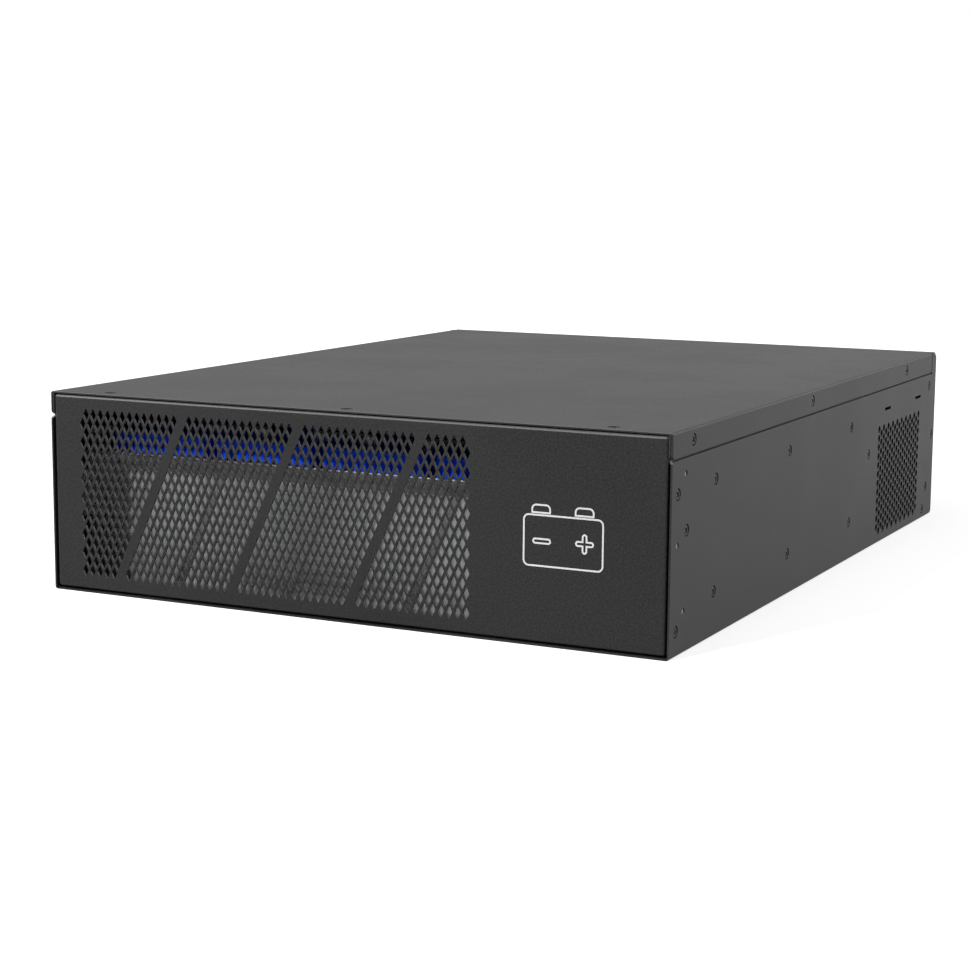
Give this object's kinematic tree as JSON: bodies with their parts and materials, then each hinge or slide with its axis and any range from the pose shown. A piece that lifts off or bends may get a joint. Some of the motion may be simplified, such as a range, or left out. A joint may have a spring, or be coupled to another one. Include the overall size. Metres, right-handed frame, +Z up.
{
  "type": "ups battery cabinet",
  "caption": "Low black folded-steel cabinet for rack use, with a diamond-perforated front panel, vented sides and sealed batteries inside, feeding an uninterruptible power supply.",
  "frame": {"origin": "middle of the underside of the case", "axes": "+X to the right and +Y to the rear, seen from the front; +Z up"},
  "size_m": [0.44, 0.602, 0.133],
  "materials": {
    "case_paint": "fine-textured black powder coat",
    "panel_paint": "fine-textured black powder coat",
    "galvanised": "galvanised sheet",
    "insulating_film": "black plastic film",
    "foam": "black closed-cell foam",
    "post_metal": "tinned brass",
    "insulated_bar": "black sleeved bar",
    "positive_insulation": "red sleeved bar",
    "breaker_shell": "pale grey moulding",
    "breaker_lever": "black moulding",
    "connector_shell": "grey moulding",
    "contact_metal": "silvered contact",
    "zinc": "zinc plated",
    "battery_case": "blue moulded case"
  },
  "bodies": {
    "cabinet": {"chassis": "case_paint", "top_cover": "case_paint", "front_panel": "panel_paint", "rear_panel": "case_paint", "battery_tray": "galvanised", "front_retainer": "galvanised", "rear_retainer": "galvanised", "hold_down_bar_front": "galvanised", "hold_down_bar_rear": "galvanised", "breaker_bracket": "galvanised", "insulating_sheet": "insulating_film", "side_pads": "foam", "terminal_posts": "post_metal", "series_links": "insulated_bar", "positive_lead": "positive_insulation", "positive_bus": "positive_insulation", "negative_lead": "insulated_bar", "negative_bus": "insulated_bar", "breaker_body": "breaker_shell", "connector_1": "connector_shell", "connector_2": "connector_shell", "connector_contacts": "contact_metal", "earth_stud": "zinc", "earth_nut": "zinc", "battery_01": "battery_case", "battery_02": "battery_case", "battery_03": "battery_case", "battery_04": "battery_case", "battery_05": "battery_case", "battery_06": "battery_case", "battery_07": "battery_case", "battery_08": "battery_case", "battery_09": "battery_case", "battery_10": "battery_case", "battery_11": "battery_case", "battery_12": "battery_case", "battery_13": "battery_case", "battery_14": "battery_case", "battery_15": "battery_case", "battery_16": "battery_case", "battery_17": "battery_case", "battery_18": "battery_case", "battery_19": "battery_case", "battery_20": "battery_case", "column_spacer_1": "foam", "column_spacer_2": "foam", "column_spacer_3": "foam", "column_spacer_4": "foam"},
    "lever": {"breaker_lever": "breaker_lever"}
  },
  "joints": [
    {"name": "breaker_toggle", "type": "hinge", "parent": "cabinet", "child": "lever", "pos_m": [-0.192, 0.2935, 0.066], "axis": [1, 0, 0], "range_deg": [0, 60]}
  ]
}
